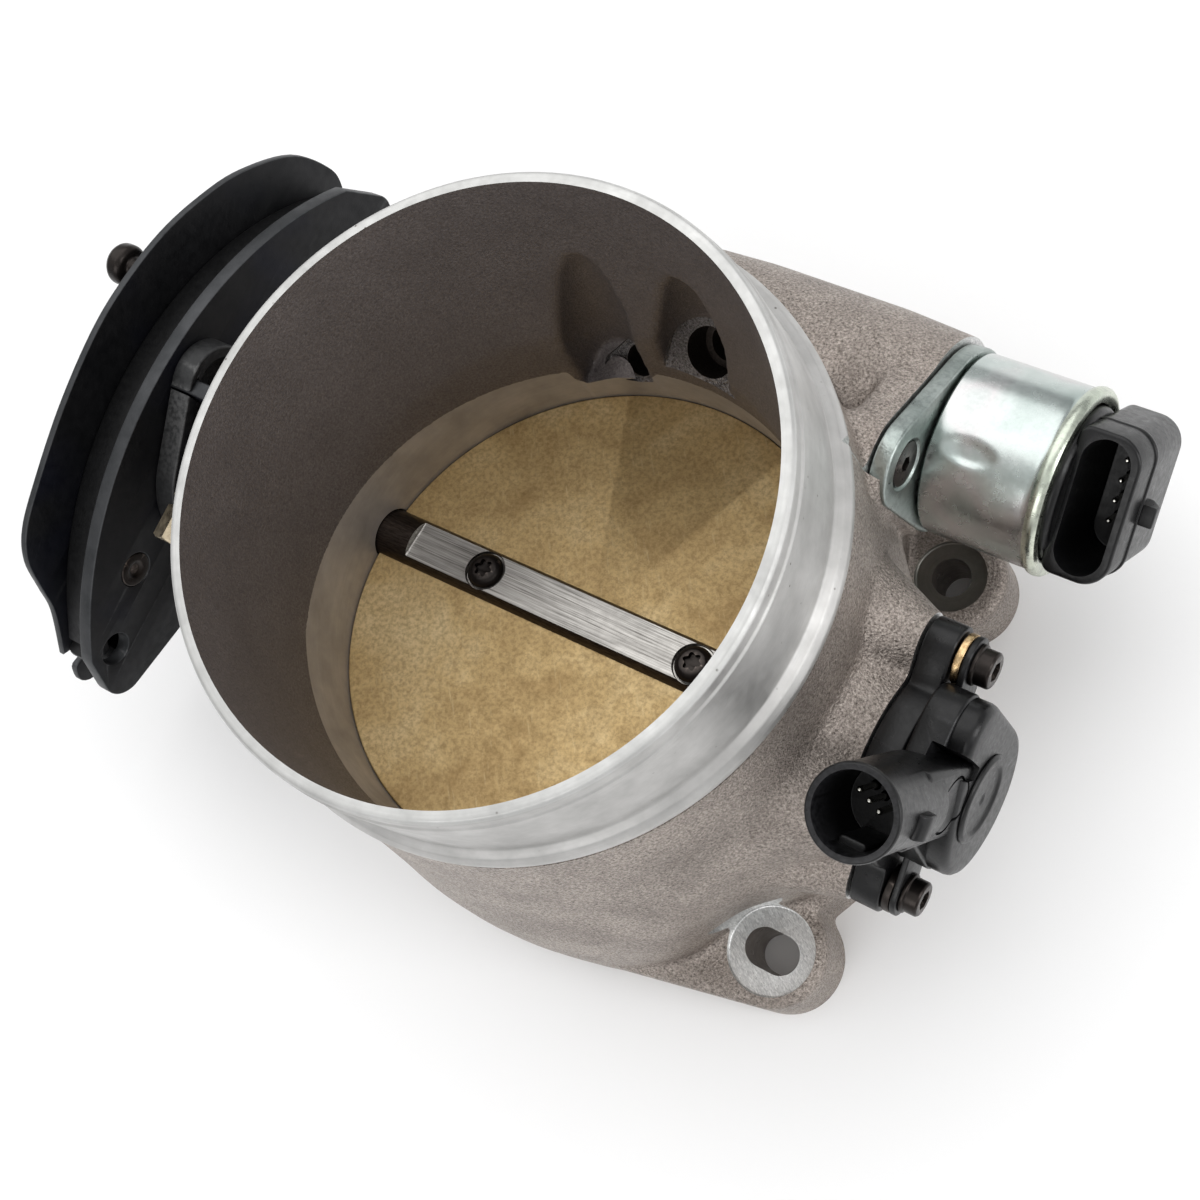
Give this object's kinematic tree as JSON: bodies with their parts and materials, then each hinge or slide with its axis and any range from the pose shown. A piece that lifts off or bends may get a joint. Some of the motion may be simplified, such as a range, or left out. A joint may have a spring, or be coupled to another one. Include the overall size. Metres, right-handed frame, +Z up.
{
  "type": "throttle body",
  "caption": "Cable-operated engine throttle body: cast housing with a round inlet collar, butterfly plate on a shaft, cable wheel, idle air valve and position sensor.",
  "frame": {"origin": "on the bore's axis, in the mounting face of the four-bolt flange", "axes": "+Z up along the bore towards the air inlet, +X along the throttle shaft towards the position sensor, +Y towards the idle air valve"},
  "size_m": [0.1925, 0.1272, 0.1023],
  "materials": {
    "cast_aluminium": "sand-cast skin, machined bore, collar and pads",
    "brass_plate": "lightly tarnished sheet",
    "shaft_steel": "dark ground bar with a bright milled flat",
    "bearing_steel": "ground",
    "seal_rubber": "matt black",
    "dark_screw": "black oxide",
    "blackened_steel": "black phosphate, worn at the edges",
    "zinc_steel": "clear zinc plate",
    "spring_steel": "oiled dark wire",
    "black_nylon": "moulded",
    "yellow_zinc": "yellow zinc plate",
    "bright_zinc": "bright zinc with a faint iridescence",
    "copper_winding": "enamelled wire",
    "magnet": "dull grey",
    "tinned_brass": "tinned",
    "black_plastic": "fine moulded grain",
    "white_nylon": "moulded"
  },
  "bodies": {
    "body": {"bearing_sensor_side": "bearing_steel", "bearing_wheel_side": "bearing_steel", "housing": "cast_aluminium", "idle_stop_nut": "yellow_zinc", "idle_stop_screw": "yellow_zinc", "idle_valve_can": "bright_zinc", "idle_valve_coil": "copper_winding", "idle_valve_connector": "black_plastic", "idle_valve_flange": "bright_zinc", "idle_valve_nose": "zinc_steel", "idle_valve_pin_1": "tinned_brass", "idle_valve_pin_2": "tinned_brass", "idle_valve_pin_3": "tinned_brass", "idle_valve_pin_4": "tinned_brass", "idle_valve_screw_lower": "dark_screw", "idle_valve_screw_upper": "dark_screw", "idle_valve_seal": "seal_rubber", "return_spring": "spring_steel", "sensor_body": "black_plastic", "sensor_bracket": "black_plastic", "sensor_cover": "black_plastic", "sensor_pin_1": "tinned_brass", "sensor_pin_2": "tinned_brass", "sensor_pin_3": "tinned_brass", "sensor_screw_lower": "dark_screw", "sensor_screw_upper": "dark_screw", "sensor_seal": "seal_rubber", "sensor_sleeve_lower": "zinc_steel", "sensor_sleeve_upper": "yellow_zinc", "sensor_tab_lower": "zinc_steel", "sensor_tab_upper": "zinc_steel", "shaft_seal_sensor_side": "seal_rubber", "shaft_seal_wheel_side": "seal_rubber", "spring_bush": "black_nylon"},
    "throttle": {"cable_wheel_drum": "black_nylon", "cable_wheel_inner_plate": "blackened_steel", "cable_wheel_outer_plate": "blackened_steel", "cable_wheel_rivet_1": "blackened_steel", "cable_wheel_rivet_2": "blackened_steel", "cruise_cable_stud": "blackened_steel", "plate_screw_sensor_side": "dark_screw", "plate_screw_wheel_side": "dark_screw", "sensor_rotor": "white_nylon", "spring_cup": "black_nylon", "throttle_plate": "brass_plate", "throttle_shaft": "shaft_steel", "wheel_nut": "zinc_steel", "wheel_washer": "zinc_steel"},
    "pintle": {"idle_valve_pintle": "zinc_steel", "idle_valve_spring": "zinc_steel"},
    "rotor": {"idle_valve_rotor": "magnet"}
  },
  "joints": [
    {"name": "throttle_turn", "type": "hinge", "parent": "body", "child": "throttle", "pos_m": [0, 0, 0.044], "axis": [-1, 0, 0], "range_deg": [0, 80], "stiffness_Nm_per_rad": 0.25, "springref_deg": -34.38},
    {"name": "idle_pintle_slide", "type": "slide", "parent": "body", "child": "pintle", "axis": [-1, 0, 0], "range_m": [0, 0.008]},
    {"name": "idle_rotor_spin", "type": "hinge", "parent": "body", "child": "rotor", "pos_m": [0.05, 0.0525, 0.044], "axis": [1, 0, 0], "range_deg": [0, 2280]}
  ],
  "couplings": [
    {"joint": "idle_rotor_spin", "follows": "idle_pintle_slide", "rad_per_m": 4947.4}
  ]
}
